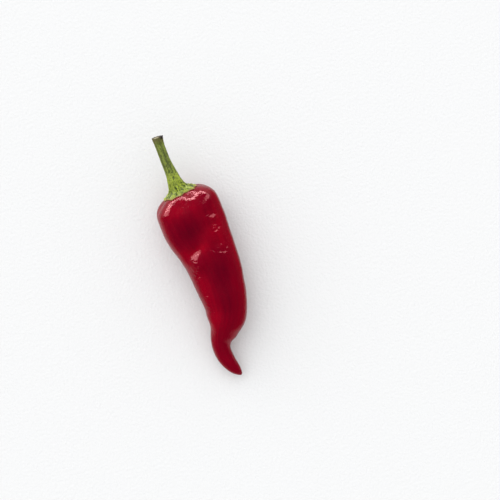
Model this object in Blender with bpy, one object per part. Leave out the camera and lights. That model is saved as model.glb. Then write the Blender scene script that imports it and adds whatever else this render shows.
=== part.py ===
"""A fresh Aleppo pepper, as picked: the red fruit, its green calyx, and the stem that it hung by.

Metres, +Z up. The pepper lies on its side on the surface z = 0, with its stem towards +Y and its tip towards -Y.
The origin is in the small flat spot on the underside that it rests on.
"""

import bpy
import numpy as np

# Driving dimensions are in millimetres, and MM turns them into metres.
MM = 0.001
UP = np.array((0.0, 0.0, 1.0))

# Pieces that touch keep this much room between them.
TOUCHING_GAP = 0.3

# The fruit's spine from the crown to the tip. Each row holds the centre's x and y, the half width, the half
# height, and how far the underside is above the surface. Where that is below zero, the fruit lies flat.
FRUIT_STATIONS = (
    (-2.3, 29.6, 16.1, 15.2, 2.7),
    (-1.1, 20.0, 16.3, 15.0, 0.6),
    (-0.3, 10.0, 16.3, 14.8, -0.4),
    (1.3, 0.0, 14.8, 13.8, -0.4),
    (2.5, -10.0, 13.6, 13.0, -0.3),
    (2.7, -20.0, 12.6, 12.1, 0.4),
    (2.4, -30.0, 11.1, 10.8, 1.2),
    (1.7, -34.0, 10.5, 9.9, 1.7),
    (-0.05, -38.4, 9.75, 9.1, 2.0),
    (-3.2, -43.4, 6.4, 7.0, 2.5),
    (-5.5, -47.5, 5.3, 5.4, 2.8),
    (-6.5, -51.6, 4.6, 4.6, 2.7),
    (-6.4, -55.0, 4.3, 4.2, 2.4),
    (-5.6, -58.6, 4.0, 3.9, 2.1),
    (-4.2, -62.2, 3.4, 3.3, 1.8),
    (-2.5, -65.4, 2.7, 2.7, 1.6),
)

# The crown rounds over within CROWN_DEPTH of its middle, and the tip within TIP_DEPTH of its end.
# The powers set how square the shoulder and the fruit's sections are; 2 is an ellipse.
CROWN_DEPTH = 10.0
CROWN_POWER_ALONG = 2.3
CROWN_POWER_ACROSS = 2.6
TIP_DEPTH = 6.0
SECTION_POWER = 2.15

# The main forms of the skin. Each row holds the distance from the middle of the crown along the skin, the angle
# round the fruit in degrees (0 is the right side, 90 the top), the reach along and around, the turn of the form
# in degrees, and its height, which is negative for a dent.
SKIN_FORMS = (
    # Pleats that start at the calyx and run over the shoulder, on the sides and underneath
    (12.0, 165.0, 4.5, 2.8, 0.0, -1.0),
    (12.0, -8.0, 4.5, 3.2, 0.0, -1.3),
    (12.0, -55.0, 4.5, 3.2, 0.0, -1.2),
    (12.0, -100.0, 4.5, 3.4, 0.0, -1.3),
    (12.0, -145.0, 4.5, 3.2, 0.0, -1.2),
    # The waist above the middle, the swelling on the left under its edge, and the long hollow below it
    (35.5, 100.0, 4.5, 8.0, 0.0, -1.1),
    (41.5, 116.0, 2.6, 5.5, -14.0, -1.6),
    (49.2, 115.0, 4.2, 4.8, -25.0, 1.6),
    (64.0, 95.0, 6.0, 8.0, 0.0, -0.5),
    # Shallow folds across the right flank
    (25.5, 54.0, 1.7, 2.6, 0.0, -0.4),
    (33.0, 54.0, 1.7, 2.6, 0.0, -0.4),
    (43.0, 62.0, 1.8, 4.0, 0.0, -0.4),
    # The corner of the elbow above the tip
    (89.5, 2.0, 4.5, 6.0, 0.0, 1.5),
)

# The pleats and swellings of the upper shoulder, as heights on a small net: a row for each distance along the skin
# and a column for each angle. Each is a soft oval like the forms above.
SHOULDER_PLACES = (9.5, 13.5, 17.5)
SHOULDER_ANGLES = (40.0, 55.0, 70.0, 85.0, 100.0, 115.0, 130.0, 145.0)
SHOULDER_HEIGHTS = (
    (0.4, -0.7, -0.8, 0.1, -0.2, 0.0, 0.6, 0.2),
    (0.5, -0.8, -0.9, -0.3, -0.8, -0.3, 0.0, -0.3),
    (0.6, -0.4, -0.3, -0.5, -1.1, -0.5, 0.1, 0.4),
)
SHOULDER_SPREAD = (3.4, 4.0)

# Near the middle of the crown and the end of the tip the forms fade out within this radius.
FORM_FADE = 6.0

# The calyx: a low toothed cone that covers the middle of the crown. Each tooth has an angle round the crown in
# degrees and a length, and a rib runs down to it.
CALYX_REACH = 8.5
CALYX_TEETH = (
    (14, 1.0), (40, 1.2), (64, 1.1), (92, 1.0), (122, 0.8), (169, 1.6), (218, 0.8), (268, 1.0), (318, 0.9)
)
CALYX_TOOTH_SPREAD = 10.0
CALYX_RIB = 0.35

# The calyx's thickness on its way in from the margin: share of the reach, and thickness.
CALYX_THICKNESS = ((0.99, 0.4), (0.92, 0.55), (0.84, 0.6), (0.75, 0.77), (0.66, 1.05))

# The neck in the middle of the calyx: heights over the crown, and radii. The stem stands on its end.
CALYX_NECK = ((2.1, 4.6), (3.1, 4.15), (4.6, 3.75))

# The stem: x and y of its centre, and its radius, from the calyx to the cut end. It rises by STEM_RISE on its way.
# The cut is slanted: its upper edge is STEM_CUT_SLANT short of its lower edge.
STEM_STATIONS = (
    (-3.2, 38.0, 3.0),
    (-3.65, 41.5, 2.65),
    (-4.15, 45.5, 2.4),
    (-4.4, 50.0, 2.3),
    (-4.6, 55.0, 2.4),
    (-4.55, 57.2, 2.65),
    (-4.5, 58.5, 2.8),
)
STEM_BASE_RADIUS = 3.6
STEM_RISE = 0.09
STEM_RIBS = 5
STEM_RIB_HEIGHT = 0.09
STEM_CUT_SLANT = 1.0
STEM_CUT_ONSET = 6

# How finely each solid is divided. END_CROWDING brings the fruit's rings closer together at both ends.
FRUIT_SIDES = 60
FRUIT_RINGS = 64
END_CROWDING = 0.4
CALYX_SIDES = 60
CALYX_UNDERSIDE = (0.15, 0.4, 0.65, 0.85, 1.0)
STEM_SIDES = 30
STEM_RINGS = 26
FINE_STEPS = 600
NORMAL_STEP = 0.02


def smooth_through(knots, values, at):
    """Natural cubic spline through the values at the knots, read at each place in at."""
    gap = np.diff(knots)
    slope = np.diff(values, axis=0) / gap[:, None]
    count = len(knots)
    matrix = np.eye(count)
    right = np.zeros_like(values)
    for i in range(1, count - 1):
        matrix[i, i - 1 : i + 2] = gap[i - 1], 2 * (gap[i - 1] + gap[i]), gap[i]
        right[i] = 6 * (slope[i] - slope[i - 1])
    bend = np.linalg.solve(matrix, right)
    i = np.clip(np.searchsorted(knots, at) - 1, 0, count - 2)
    step = (at - knots[i])[:, None]
    h = gap[i][:, None]
    first = slope[i] - h * (2 * bend[i] + bend[i + 1]) / 6
    third = (bend[i + 1] - bend[i]) / (6 * h)
    return values[i] + step * (first + step * (bend[i] / 2 + step * third))


def lengths_along(points):
    """Distance of each point from the first one, along the line through them."""
    steps = np.linalg.norm(np.diff(points, axis=0), axis=1)
    return np.concatenate(([0.0], np.cumsum(steps)))


def unit(vectors):
    return vectors / np.linalg.norm(vectors, axis=-1, keepdims=True)


def frames_along(centres):
    """Unit vectors along a spine, out to its right as seen from above, and out of its upper side."""
    along = unit(np.gradient(centres, axis=0))
    right = unit(np.cross(UP, along))
    return along, right, np.cross(along, right)


def turned_from(angle, degrees):
    """The angle counted from another one, between -pi and pi."""
    return np.angle(np.exp(1j * (angle - np.radians(degrees))))


def fruit_meridian():
    """Tables down the fruit's side: distance along the spine, share of the full radius, and distance on the skin."""
    length = KNOTS[-1] + TIP_DEPTH / 2
    turn = np.linspace(0, np.pi / 2, FINE_STEPS)
    rising = np.sin(turn)
    crown = CROWN_DEPTH * (1 - (1 - rising**CROWN_POWER_ACROSS) ** (1 / CROWN_POWER_ALONG))
    body = np.linspace(CROWN_DEPTH, length - TIP_DEPTH, FINE_STEPS)[1:-1]
    tip = length - TIP_DEPTH * (1 - np.sin(turn))
    spine = np.concatenate((crown, body, tip))
    share = np.concatenate((rising, np.ones(len(body)), np.cos(turn)))
    reach = share * np.interp(spine, KNOTS, STATIONS[:, 2])
    return spine, share, lengths_along(np.column_stack((spine, reach)))


STATIONS = np.array(FRUIT_STATIONS)
CENTRES = np.column_stack((STATIONS[:, :2], STATIONS[:, 3] + STATIONS[:, 4]))
KNOTS = lengths_along(CENTRES)
MERIDIAN_SPINE, MERIDIAN_SHARE, MERIDIAN_SKIN = fruit_meridian()
SKIN_LENGTH = MERIDIAN_SKIN[-1]


def shoulder_forms():
    """The net of the upper shoulder as rows of forms."""
    return tuple(
        (place, angle, *SHOULDER_SPREAD, 0.0, height)
        for place, heights in zip(SHOULDER_PLACES, SHOULDER_HEIGHTS)
        for angle, height in zip(SHOULDER_ANGLES, heights)
    )


def skin_relief(skin, angle, radius):
    """Height of the main forms at a place on the skin: a sum of smooth oval bumps and dents."""
    height = np.zeros(radius.shape)
    for place, degrees, reach_along, reach_round, turn, size in SKIN_FORMS + shoulder_forms():
        down = skin - place
        across = turned_from(angle, degrees) * radius
        c, s = np.cos(np.radians(turn)), np.sin(np.radians(turn))
        oval = ((down * c + across * s) / reach_along) ** 2 + ((across * c - down * s) / reach_round) ** 2
        height += size * np.exp(-oval)
    return height * np.clip(radius / FORM_FADE, 0, 1)


def fruit_skin(skin, angle):
    """Points of the fruit at a distance along the skin from the middle of the crown, and an angle round it.

    A section is a rounded square of the station's half width and half height, scaled by the rounding of the
    crown and the tip, with the relief added outwards and whatever is below the surface pressed flat on it.
    """
    spine = np.interp(skin, MERIDIAN_SKIN, MERIDIAN_SPINE)
    share = np.interp(skin, MERIDIAN_SKIN, MERIDIAN_SHARE)
    fine = np.linspace(0, MERIDIAN_SPINE[-1], FINE_STEPS)
    line = smooth_through(KNOTS, CENTRES, fine)
    _, right, up = frames_along(line)
    centre, right, up = (
        np.stack([np.interp(spine, fine, part[:, k]) for k in range(3)], axis=-1) for part in (line, right, up)
    )
    sizes = smooth_through(KNOTS, STATIONS[:, 2:4], spine.ravel()).reshape(*spine.shape, 2)
    c, s = np.cos(angle), np.sin(angle)
    square = np.abs(c / sizes[..., 0]) ** SECTION_POWER + np.abs(s / sizes[..., 1]) ** SECTION_POWER
    radius = share * square ** (-1 / SECTION_POWER)
    radius = radius + skin_relief(skin, angle, radius)
    points = centre + radius[..., None] * (c[..., None] * right + s[..., None] * up)
    points[..., 2] = np.maximum(points[..., 2], 0)
    return points


def skin_normals(skin, angle):
    """Unit vectors out of the skin, from two short steps on it."""
    place = fruit_skin(skin, angle)
    down = fruit_skin(skin + NORMAL_STEP, angle) - place
    across = fruit_skin(skin, angle + NORMAL_STEP) - place
    return unit(np.cross(across, down))


def around(sides):
    return np.linspace(0, 2 * np.pi, sides, endpoint=False)


def closed_solid(name, rings, first, last):
    """Joins rings of points with quads, and closes each end with a fan of triangles round one point."""
    count, sides = rings.shape[:2]
    index = np.arange(count * sides).reshape(count, sides)
    after = np.roll(index, -1, axis=1)
    quads = np.stack((index[:-1], after[:-1], after[1:], index[1:]), axis=-1).reshape(-1, 4)
    start, end = count * sides, count * sides + 1
    fans = [(start, after[0, i], index[0, i]) for i in range(sides)]
    fans += [(end, index[-1, i], after[-1, i]) for i in range(sides)]
    points = np.concatenate((rings.reshape(-1, 3), [first], [last])) * MM
    mesh = bpy.data.meshes.new(name)
    mesh.from_pydata(points.tolist(), [], quads.tolist() + fans)
    mesh.update()
    mesh.shade_smooth()
    solid = bpy.data.objects.new(name, mesh)
    bpy.context.collection.objects.link(solid)
    return solid


def make_fruit():
    """The red pod: rings round the spine from the middle of the crown to the end of the tip."""
    share = np.linspace(0, 1, FRUIT_RINGS + 2)[1:-1]
    skin = SKIN_LENGTH * (share - END_CROWDING * np.sin(2 * np.pi * share) / (2 * np.pi))
    rings = fruit_skin(*np.meshgrid(skin, around(FRUIT_SIDES), indexing="ij"))
    ends = fruit_skin(np.array((0.0, SKIN_LENGTH)), np.zeros(2))
    return closed_solid("fruit", rings, *ends)


def crown_frame():
    """The middle of the crown, and the unit vectors out of it, to its right and to its upper side."""
    line = smooth_through(KNOTS, CENTRES, np.linspace(0, 1, 3))
    along, right, up = frames_along(line)
    return line[0], -along[0], right[0], up[0]


def calyx_teeth(angle):
    """How far the calyx's margin stands out at an angle: a narrow bump for each tooth."""
    return sum(
        length * np.exp(-((turned_from(angle, degrees) / np.radians(CALYX_TOOTH_SPREAD)) ** 2))
        for degrees, length in CALYX_TEETH
    )


def make_calyx():
    """The green cap: its underside follows the crown, and its upper side rises from the margin to a short neck."""
    middle, out, right, up = crown_frame()
    angle = around(CALYX_SIDES)
    tooth = calyx_teeth(angle)
    margin = CALYX_REACH + tooth
    under = np.array(CALYX_UNDERSIDE)[:, None] * margin
    turned = np.broadcast_to(angle, under.shape)
    low = fruit_skin(under, turned) + TOUCHING_GAP * skin_normals(under, turned)
    share, thickness = np.array(CALYX_THICKNESS).T[..., None]
    over = share * margin
    rib = np.sin(np.pi * (1 - share)) * CALYX_RIB * (tooth - tooth.mean())
    lift = TOUCHING_GAP + thickness + rib
    high = fruit_skin(over, turned) + lift[..., None] * skin_normals(over, turned)
    ring = np.cos(angle)[:, None] * right + np.sin(angle)[:, None] * up
    neck = np.stack([middle + height * out + radius * ring for height, radius in CALYX_NECK])
    rings = np.concatenate((low, high, neck))
    return closed_solid("calyx", rings[:, ::-1], middle + TOUCHING_GAP * out, middle + CALYX_NECK[-1][0] * out)


def make_stem():
    """The ribbed stalk: it leaves the calyx square to its neck, narrows, and flares at the slanted cut."""
    middle, out, right, up = crown_frame()
    base = middle + (CALYX_NECK[-1][0] + TOUCHING_GAP) * out
    x, y, radius = np.array(STEM_STATIONS).T
    places = np.column_stack((x, y, base[2] + STEM_RISE * (y - base[1])))
    places = np.concatenate(([base], places))
    radii = np.concatenate(([STEM_BASE_RADIUS], radius))
    knots = lengths_along(places)
    at = np.linspace(0, knots[-1], STEM_RINGS)
    line = smooth_through(knots, places, at)
    reach = smooth_through(knots, radii[:, None], at)
    along, across, above = frames_along(line)
    across[0], above[0] = -right, up
    angle = around(STEM_SIDES)
    reach = reach * (1 + STEM_RIB_HEIGHT * np.cos(STEM_RIBS * angle))
    outward = np.cos(angle)[:, None] * across[:, None] + np.sin(angle)[:, None] * above[:, None]
    slant = STEM_CUT_SLANT * (at / at[-1])[:, None] ** STEM_CUT_ONSET * (1 + np.sin(angle)) / 2
    rings = line[:, None] + reach[..., None] * outward - slant[..., None] * along[:, None]
    return closed_solid("stem", rings, line[0], rings[-1].mean(axis=0))


def finish(solid, name, colour, roughness):
    """Gives a solid its plain material."""
    material = bpy.data.materials.new(name)
    material.use_nodes = True
    shader = material.node_tree.nodes["Principled BSDF"]
    shader.inputs["Base Color"].default_value = (*colour, 1.0)
    shader.inputs["Roughness"].default_value = roughness
    shader.inputs["Metallic"].default_value = 0.0
    solid.data.materials.append(material)


for old in list(bpy.data.objects):
    bpy.data.objects.remove(old)
finish(make_fruit(), "red_skin", (0.2, 0.002, 0.01), 0.2)
finish(make_calyx(), "calyx_green", (0.21, 0.25, 0.03), 0.5)
finish(make_stem(), "stem_green", (0.2, 0.24, 0.05), 0.5)
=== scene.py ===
# %% [markdown]
# # A fresh Aleppo pepper
#
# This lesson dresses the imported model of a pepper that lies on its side: a glossy red pod, a green calyx on
# its crown, and the ribbed stalk it hung by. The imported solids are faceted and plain, and they say where
# everything is. Each visible piece is made again here as a fine surface from the same few sizes, takes its
# solid's place, and gets a finish built from nodes.

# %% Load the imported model
import math

import bpy
import numpy as np
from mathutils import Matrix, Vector


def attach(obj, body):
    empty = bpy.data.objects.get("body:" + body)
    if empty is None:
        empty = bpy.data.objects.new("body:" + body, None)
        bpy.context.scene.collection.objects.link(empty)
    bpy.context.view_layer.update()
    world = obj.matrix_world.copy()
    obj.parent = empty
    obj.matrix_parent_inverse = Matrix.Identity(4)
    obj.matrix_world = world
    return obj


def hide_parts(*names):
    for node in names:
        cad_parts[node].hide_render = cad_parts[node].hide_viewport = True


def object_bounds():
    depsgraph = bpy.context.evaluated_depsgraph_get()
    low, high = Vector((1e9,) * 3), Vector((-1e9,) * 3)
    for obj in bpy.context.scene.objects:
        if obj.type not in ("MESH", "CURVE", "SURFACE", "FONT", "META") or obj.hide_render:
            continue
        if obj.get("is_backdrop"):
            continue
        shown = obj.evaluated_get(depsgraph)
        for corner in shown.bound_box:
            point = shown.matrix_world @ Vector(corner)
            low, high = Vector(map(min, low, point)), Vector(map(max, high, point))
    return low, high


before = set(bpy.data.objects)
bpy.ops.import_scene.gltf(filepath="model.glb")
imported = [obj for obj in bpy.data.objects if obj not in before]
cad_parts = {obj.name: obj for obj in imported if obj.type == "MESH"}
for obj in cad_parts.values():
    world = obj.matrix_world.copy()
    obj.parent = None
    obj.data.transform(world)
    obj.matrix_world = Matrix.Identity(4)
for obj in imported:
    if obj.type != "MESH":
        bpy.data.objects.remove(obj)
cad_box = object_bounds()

MM = 0.001


def print_box(name, box):
    """Prints a box's lowest and highest corner in millimetres."""
    print(name, "in mm:", [round(float(v) / MM, 2) for v in (*box[0], *box[1])])


print_box("packed box", cad_box)

# %% [markdown]
# ## The line the fruit follows
#
# A pepper grows as a tube round a line that bends. The tube could be sculpted, or lofted through rings placed
# by hand. A formula is easier to refine: sixteen stations give the centre, half width and half height of the
# pod, and a natural cubic spline runs smoothly through them, so the surface can be read at any fineness.

# %% Stations of the fruit
# Each row holds the centre's x and y, the half width, the half height, and how far the underside is above the
# floor. Where that is below zero, the fruit lies flat.
FRUIT_STATIONS = np.array((
    (-2.3, 29.6, 16.1, 15.2, 2.7),
    (-1.1, 20.0, 16.3, 15.0, 0.6),
    (-0.3, 10.0, 16.3, 14.8, -0.4),
    (1.3, 0.0, 14.8, 13.8, -0.4),
    (2.5, -10.0, 13.6, 13.0, -0.3),
    (2.7, -20.0, 12.6, 12.1, 0.4),
    (2.4, -30.0, 11.1, 10.8, 1.2),
    (1.7, -34.0, 10.5, 9.9, 1.7),
    (-0.05, -38.4, 9.75, 9.1, 2.0),
    (-3.2, -43.4, 6.4, 7.0, 2.5),
    (-5.5, -47.5, 5.3, 5.4, 2.8),
    (-6.5, -51.6, 4.6, 4.6, 2.7),
    (-6.4, -55.0, 4.3, 4.2, 2.4),
    (-5.6, -58.6, 4.0, 3.9, 2.1),
    (-4.2, -62.2, 3.4, 3.3, 1.8),
    (-2.5, -65.4, 2.7, 2.7, 1.6),
))


# %% A spline through stations
def smooth_through(knots, values, at):
    """Natural cubic spline through the values at the knots, read at each place in at.

    On each stretch the curve is a cubic whose second derivative runs in a straight line between the knots'
    bends, and the bends are solved so that slopes meet at every knot and the ends are unbent.
    """
    gap = np.diff(knots)
    slope = np.diff(values, axis=0) / gap[:, None]
    count = len(knots)
    matrix = np.eye(count)
    right = np.zeros_like(values)
    for i in range(1, count - 1):
        matrix[i, i - 1 : i + 2] = gap[i - 1], 2 * (gap[i - 1] + gap[i]), gap[i]
        right[i] = 6 * (slope[i] - slope[i - 1])
    bend = np.linalg.solve(matrix, right)
    i = np.clip(np.searchsorted(knots, at) - 1, 0, count - 2)
    step = (at - knots[i])[:, None]
    h = gap[i][:, None]
    first = slope[i] - h * (2 * bend[i] + bend[i + 1]) / 6
    third = (bend[i + 1] - bend[i]) / (6 * h)
    return values[i] + step * (first + step * (bend[i] / 2 + step * third))


def lengths_along(points):
    """Distance of each point from the first one, summed over the steps between them."""
    steps = np.linalg.norm(np.diff(points, axis=0), axis=1)
    return np.concatenate(([0.0], np.cumsum(steps)))


def unit(vectors):
    """Vectors divided by their own lengths."""
    return vectors / np.linalg.norm(vectors, axis=-1, keepdims=True)


UP = np.array((0.0, 0.0, 1.0))


def frames_along(centres):
    """Unit vectors along a line, out of one side of it, and out of its upper side.

    The one out of the side is the cross product of up and the line's direction. Seen from above, it points
    right where the line runs down the page. The upper one is square to the other two.
    """
    along = unit(np.gradient(centres, axis=0))
    right = unit(np.cross(UP, along))
    return along, right, np.cross(along, right)


CENTRES = np.column_stack((FRUIT_STATIONS[:, :2], FRUIT_STATIONS[:, 3] + FRUIT_STATIONS[:, 4]))
KNOTS = lengths_along(CENTRES)
print("the fruit's line is", round(float(KNOTS[-1]), 1), "mm long between its first and last station")


# %% [markdown]
# ## Round ends
#
# Rings that shrink to a point at even steps would make a cone. Down the fruit's side the radius grows like a
# superellipse at the crown and like an ellipse at the tip, and places are counted by the distance walked on
# the skin, so that rings keep an even spacing over the shoulder as well.

# %% Down the fruit's side
# The crown rounds over within CROWN_DEPTH of its middle, and the tip within TIP_DEPTH of its end. The powers
# say how square the crown is, and with both at 2 it would be an ellipse.
CROWN_DEPTH = 10.0
CROWN_POWER_ALONG = 2.3
CROWN_POWER_ACROSS = 2.6
TIP_DEPTH = 6.0

# The tables along the fruit have this many steps on each stretch.
FINE_STEPS = 1200


def fruit_meridian():
    """Tables down the side: distance along the line, share of the full radius, and distance on the skin.

    On the crown, one minus the distance over the depth, raised to its power, and the share, raised to its
    own, add up to one. On the tip the distance is counted from the end, and both powers are 2.
    """
    length = KNOTS[-1] + TIP_DEPTH / 2
    turn = np.linspace(0, np.pi / 2, FINE_STEPS)
    rising = np.sin(turn)
    crown = CROWN_DEPTH * (1 - (1 - rising**CROWN_POWER_ACROSS) ** (1 / CROWN_POWER_ALONG))
    body = np.linspace(CROWN_DEPTH, length - TIP_DEPTH, FINE_STEPS)[1:-1]
    tip = length - TIP_DEPTH * (1 - np.sin(turn))
    spine = np.concatenate((crown, body, tip))
    share = np.concatenate((rising, np.ones(len(body)), np.cos(turn)))
    reach = share * np.interp(spine, KNOTS, FRUIT_STATIONS[:, 2])
    return spine, share, lengths_along(np.column_stack((spine, reach)))


MERIDIAN_SPINE, MERIDIAN_SHARE, MERIDIAN_SKIN = fruit_meridian()
SKIN_LENGTH = MERIDIAN_SKIN[-1]
print("from crown to tip the skin is", round(float(SKIN_LENGTH), 1), "mm long")

# %% [markdown]
# ## The forms of the skin
#
# Ripe skin is taut but never even. Pleats run from the calyx over the shoulder, a waist crosses the pod, and
# small folds and wrinkles follow. Sculpting them would fix them in one mesh. Here each one is a soft oval or
# a small fold, placed by its distance from the crown's middle and its angle round the pod, so the lists read
# like notes on the fruit.

# %% Main forms
# Each row holds the distance from the middle of the crown along the skin, the angle round the fruit in
# degrees (0 is the right side, 90 the top), the reach along and around, the turn of the form in degrees, and
# its height, which is negative for a dent.
MAIN_FORMS = (
    # Pleats that start at the calyx and run over the shoulder, on the sides and underneath
    (12.0, 165.0, 4.5, 2.8, 0.0, -1.0),
    (12.0, -8.0, 4.5, 3.2, 0.0, -1.3),
    (12.0, -55.0, 4.5, 3.2, 0.0, -1.2),
    (12.0, -100.0, 4.5, 3.4, 0.0, -1.3),
    (12.0, -145.0, 4.5, 3.2, 0.0, -1.2),
    # The waist above the middle, the swelling on the left under its edge, and the long hollow below it
    (35.5, 100.0, 4.5, 8.0, 0.0, -1.1),
    (41.5, 116.0, 2.6, 5.5, -14.0, -1.6),
    (49.2, 115.0, 4.2, 4.8, -25.0, 1.6),
    (64.0, 95.0, 6.0, 8.0, 0.0, -0.5),
    # Shallow folds across the right flank
    (25.5, 54.0, 1.7, 2.6, 0.0, -0.4),
    (33.0, 54.0, 1.7, 2.6, 0.0, -0.4),
    (43.0, 62.0, 1.8, 4.0, 0.0, -0.4),
    # The corner of the elbow above the tip
    (89.5, 2.0, 4.5, 6.0, 0.0, 1.5),
)

# The pleats and swellings of the upper shoulder, as heights on a small net: a row for each distance along the
# skin and a column for each angle. Each is a soft oval like the forms above.
SHOULDER_PLACES = (9.5, 13.5, 17.5)
SHOULDER_ANGLES = (40.0, 55.0, 70.0, 85.0, 100.0, 115.0, 130.0, 145.0)
SHOULDER_HEIGHTS = (
    (0.4, -0.7, -0.8, 0.1, -0.2, 0.0, 0.6, 0.2),
    (0.5, -0.8, -0.9, -0.3, -0.8, -0.3, 0.0, -0.3),
    (0.6, -0.4, -0.3, -0.5, -1.1, -0.5, 0.1, 0.4),
)
SHOULDER_SPREAD = (3.4, 4.0)


def shoulder_forms():
    """The net of the upper shoulder as rows of forms."""
    return tuple(
        (place, angle, *SHOULDER_SPREAD, 0.0, height)
        for place, heights in zip(SHOULDER_PLACES, SHOULDER_HEIGHTS)
        for angle, height in zip(SHOULDER_ANGLES, heights)
    )


BROAD_FORMS = MAIN_FORMS + shoulder_forms()
print(len(BROAD_FORMS), "broad forms shape the skin")


# %% Soft ovals
def turned_from(angle, degrees):
    """The angle counted from another one, between -pi and pi."""
    return np.angle(np.exp(1j * (angle - np.radians(degrees))))


def from_middle(row, skin, angle, radius):
    """Distances down and across from a form's middle, turned with the form and divided by its two reaches."""
    place, degrees, reach_along, reach_round, turn, _ = row
    down = skin - place
    across = turned_from(angle, degrees) * radius
    c, s = np.cos(np.radians(turn)), np.sin(np.radians(turn))
    return (down * c + across * s) / reach_along, (across * c - down * s) / reach_round


def oval_forms(rows, skin, angle, radius):
    """A sum of soft ovals: each is its height times exp(-u squared - v squared), where u and v are the
    distances down and across from its middle, divided by its reaches."""
    height = np.zeros(radius.shape)
    for row in rows:
        u, v = from_middle(row, skin, angle, radius)
        height += row[-1] * np.exp(-(u**2 + v**2))
    return height


def print_heights(name, heights):
    """Prints the lowest and the highest of some heights."""
    print(name, "go from", round(float(heights.min()), 2), "to", round(float(heights.max()), 2), "mm")


# Heights are measured on a coarse net over a fruit that is as thick as its mean half width all along.
NET_ROWS = 300
NET_COLUMNS = 200
NET_SKIN = np.linspace(0, SKIN_LENGTH, NET_ROWS)[:, None]
NET_ANGLE = np.linspace(0, 2 * np.pi, NET_COLUMNS)
NET_RADIUS = np.full((NET_ROWS, NET_COLUMNS), FRUIT_STATIONS[:, 2].mean())
print_heights("broad forms", oval_forms(BROAD_FORMS, NET_SKIN, NET_ANGLE, NET_RADIUS))

# %% Folds
# A fold is a dip with a swell right below it. The rows are as above, and the last number is the fold's depth,
# negative where the swell comes first. The slope between the two faces the crown and catches a light that
# comes from beyond it, and the fold's turn makes it face sideways as well.
FOLDS = (
    # Across the shoulder, right of the stalk
    (13.2, 68.0, 3.2, 3.2, 0.0, 0.85),
    # On the swelling under the waist
    (43.6, 110.0, 0.6, 2.4, -14.0, 0.06),
    (44.6, 118.0, 0.5, 2.2, -14.0, -0.05),
    (45.9, 119.0, 0.6, 2.4, -14.0, 0.06),
    (47.2, 121.0, 0.7, 1.1, 35.0, 0.34),
    (48.8, 123.0, 0.6, 0.9, 35.0, 0.32),
    (50.0, 119.0, 0.8, 1.0, 20.0, 0.50),
    (51.6, 125.0, 0.5, 0.9, 14.0, 0.26),
    (53.2, 128.0, 0.6, 0.9, 20.0, 0.36),
    (54.0, 136.0, 0.7, 0.8, 35.0, 0.46),
    (56.3, 130.0, 0.9, 1.1, 17.0, 0.46),
    (57.6, 137.0, 0.6, 0.9, 30.0, 0.36),
    # Across the right flank
    (28.9, 50.0, 1.6, 2.0, -5.0, 0.75),
    (27.4, 58.0, 0.5, 1.2, 0.0, 0.12),
    (30.2, 56.0, 0.6, 1.1, -10.0, 0.22),
    (35.2, 57.0, 0.5, 1.4, 10.0, 0.18),
    (37.1, 56.0, 0.9, 1.9, 5.0, 0.42),
    (36.4, 46.0, 0.7, 0.9, -15.0, 0.34),
    (39.0, 57.0, 0.5, 1.6, 10.0, 0.18),
    (40.6, 62.0, 0.5, 1.4, 10.0, 0.14),
    (44.6, 82.0, 0.6, 1.6, 32.0, 0.30),
    (46.3, 75.0, 0.8, 1.5, 30.0, 0.42),
    (47.6, 64.0, 0.8, 1.2, 25.0, 0.36),
    (48.5, 54.0, 1.0, 1.4, 0.0, 0.48),
    (46.8, 46.0, 0.7, 1.1, -20.0, 0.34),
    (50.0, 60.0, 0.6, 1.0, 10.0, 0.20),
    # Scattered ones further down
    (66.4, 132.0, 0.9, 1.3, 19.0, 0.42),
    (67.6, 85.0, 0.8, 1.1, 48.0, 0.46),
    (80.0, 80.0, 0.8, 1.1, 36.0, 0.50),
)


def fold_forms(rows, skin, angle, radius):
    """A sum of folds: each is its depth times u times exp(-u squared - v squared), with u and v as for the
    ovals, so its steepest slope is its depth over its reach along."""
    height = np.zeros(radius.shape)
    for row in rows:
        u, v = from_middle(row, skin, angle, radius)
        height += row[-1] * u * np.exp(-(u**2 + v**2))
    return height


print(len(FOLDS), "folds catch the light")
print_heights("folds", fold_forms(FOLDS, NET_SKIN, NET_ANGLE, NET_RADIUS))

# %% Slow waves
# They make the whole skin a little uneven. Their lengths, directions and starts are drawn from a fixed seed,
# so they are the same whenever the skin is asked for.
SLOW_WAVES = 14
SLOW_WAVE_LENGTHS = (7.0, 22.0)
SLOW_WAVE_MOST_TURNS = 4
SLOW_WAVE_HEIGHT = 0.035
WAVE_SEED = 11


def slow_waves(skin, angle):
    """A sum of sine waves over the skin. Each goes a whole number of times round the fruit, so it has no
    seam. The sum is divided by the root of half their number, so that its typical height is the one
    given."""
    draw = np.random.default_rng(WAVE_SEED)
    height = np.zeros(np.broadcast(skin, angle).shape)
    for _ in range(SLOW_WAVES):
        length = draw.uniform(*SLOW_WAVE_LENGTHS)
        turns = draw.integers(-SLOW_WAVE_MOST_TURNS, SLOW_WAVE_MOST_TURNS + 1)
        height += np.sin(2 * np.pi * skin / length + turns * angle + draw.uniform(0, 2 * np.pi))
    return SLOW_WAVE_HEIGHT * height / math.sqrt(SLOW_WAVES / 2)


print_heights("slow waves", slow_waves(NET_SKIN, NET_ANGLE))

# %% Wrinkles
# The cross wrinkles lie between two places on the skin and within a half width of one side of the fruit. The
# side is in degrees, and the half width and its fade are in radians. The furrows start at a place and stop
# short of the tip's end.
CROSS_PLACES = (72.0, 94.0)
CROSS_PLACE_FADE = 5.0
CROSS_SIDE = 165.0
CROSS_HALF_WIDTH = 0.8
CROSS_SIDE_FADE = 0.6
CROSS_SPACING = 2.7
CROSS_WANDER = 1.6
CROSS_HEIGHT = 0.08
FURROW_START = 96.0
FURROW_END_GAP = 6.0
FURROW_FADE = 8.0
FURROW_DEPTH = 0.07


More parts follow.
